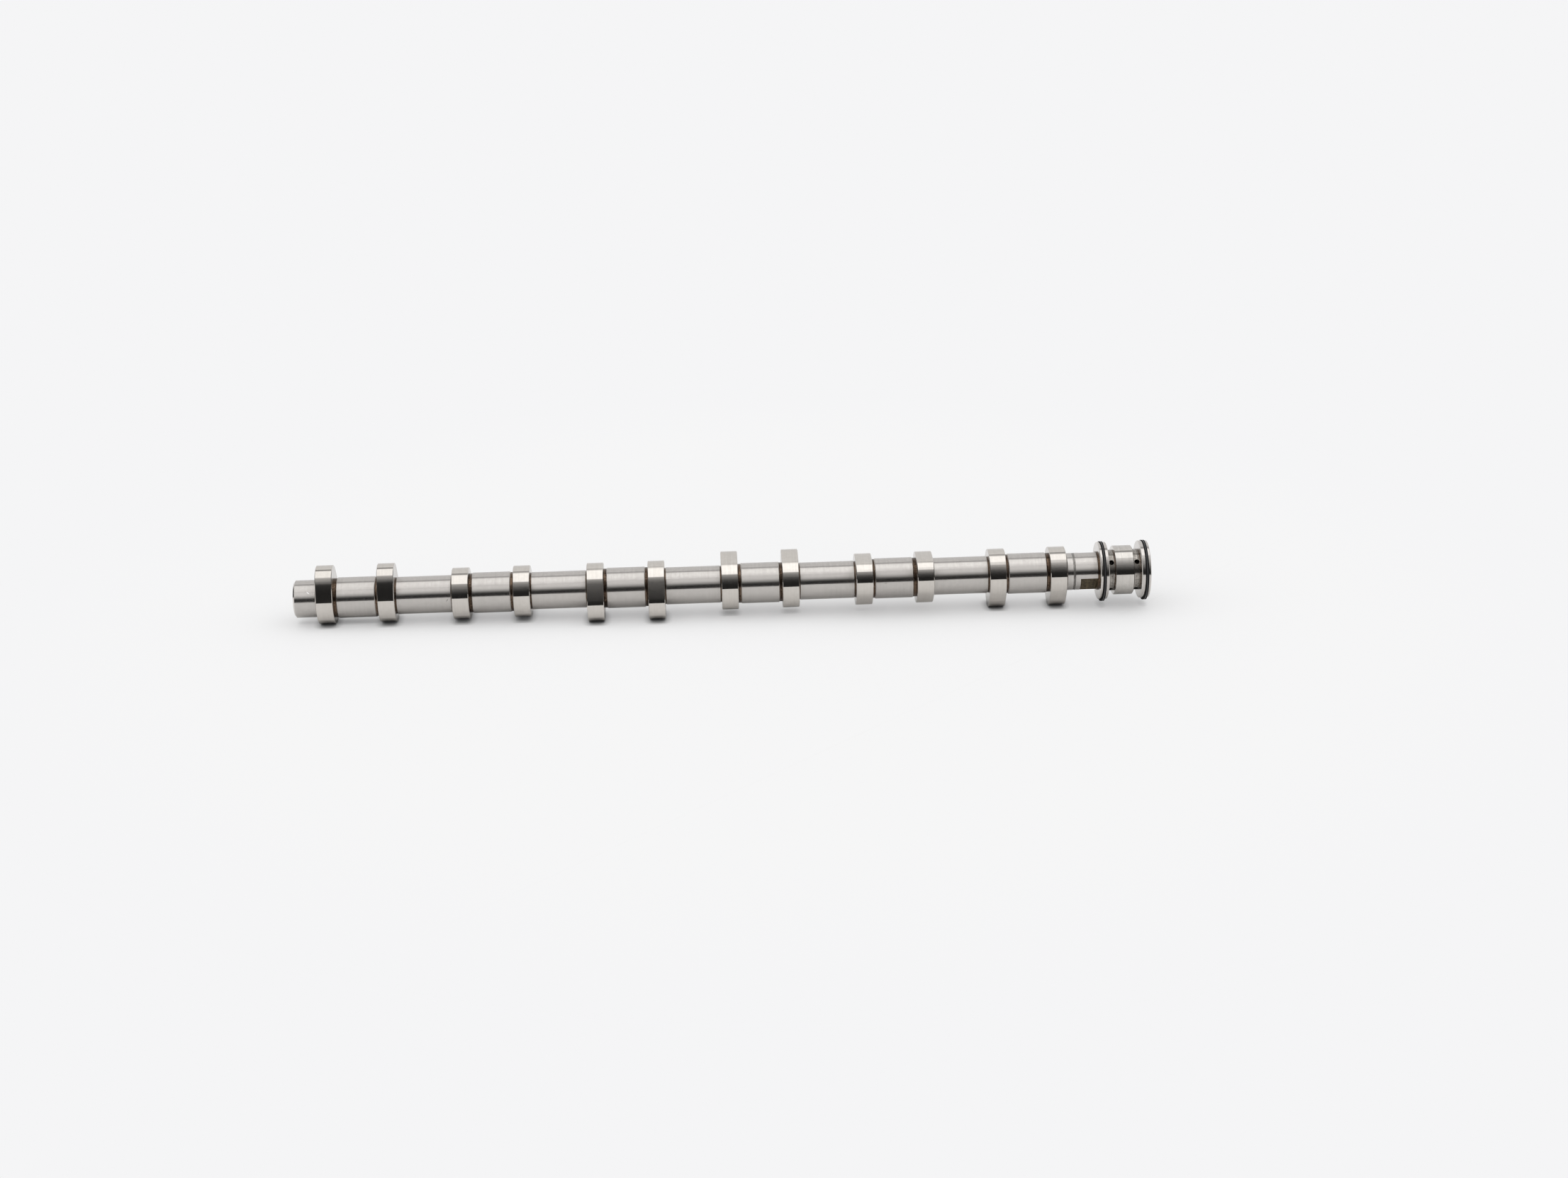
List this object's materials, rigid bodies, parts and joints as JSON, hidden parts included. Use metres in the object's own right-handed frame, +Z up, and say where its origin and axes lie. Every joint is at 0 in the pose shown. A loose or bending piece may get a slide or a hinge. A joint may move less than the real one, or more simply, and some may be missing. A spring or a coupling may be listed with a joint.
{
  "type": "camshaft",
  "caption": "Engine camshaft with paired cam lobes beside bearing journals, wrench flats, and a front end with oil grooves, ports and split seal rings.",
  "frame": {"origin": "on the shaft's axis at the plane of the front end face, at the mouth of the bolt bore", "axes": "+X along the shaft's axis towards the front end, +Z up as the shaft lies on a flat surface, with the lobe noses of the rear cylinder uppermost, and +Y to the left of someone who looks along +X"},
  "size_m": [0.5803, 0.046, 0.0468],
  "materials": {
    "ground_steel": "ground journals and lobes with fine circumferential lines, brown unground strips between them",
    "black_seal": "matte black moulded seal material"
  },
  "bodies": {
    "root": {"camshaft": "ground_steel", "rear_seal_ring": "black_seal", "front_seal_ring": "black_seal"}
  },
  "joints": []
}
